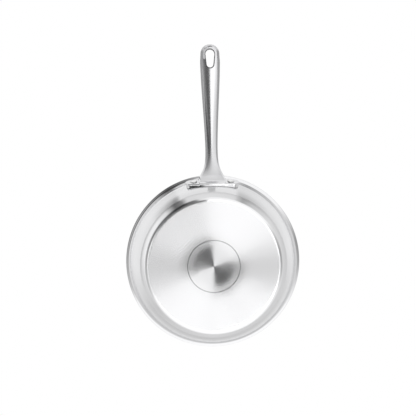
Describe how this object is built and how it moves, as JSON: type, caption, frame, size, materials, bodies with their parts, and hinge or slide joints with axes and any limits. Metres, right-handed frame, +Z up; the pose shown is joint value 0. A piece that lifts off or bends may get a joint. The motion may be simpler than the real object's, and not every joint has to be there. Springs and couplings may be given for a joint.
{
  "type": "frying pan",
  "caption": "Stainless steel frying pan with flared walls, a bonded heat-spreading base and a riveted cast handle with a hanging hole.",
  "frame": {"origin": "centre of the base's flat under face, on the surface that the pan stands on", "axes": "+X from the pan's axis towards the handle's tip, +Z up out of the open pan, +Y to the right of a cook who holds the handle's end and faces the pan"},
  "size_m": [0.4363, 0.25, 0.0809],
  "materials": {
    "shell_steel": "stainless steel, spun and polished round the axis, slightly satin",
    "core_aluminium": "bare rolled aluminium, sealed inside the base",
    "base_steel": "stainless steel with a fine circular spun grain",
    "handle_steel": "cast stainless steel, brushed lengthwise to a satin",
    "rivet_steel": "polished stainless steel"
  },
  "bodies": {
    "root": {"pan_body": "shell_steel", "base_core": "core_aluminium", "base_cap": "base_steel", "handle": "handle_steel", "rivet_left": "rivet_steel", "rivet_right": "rivet_steel"}
  },
  "joints": []
}
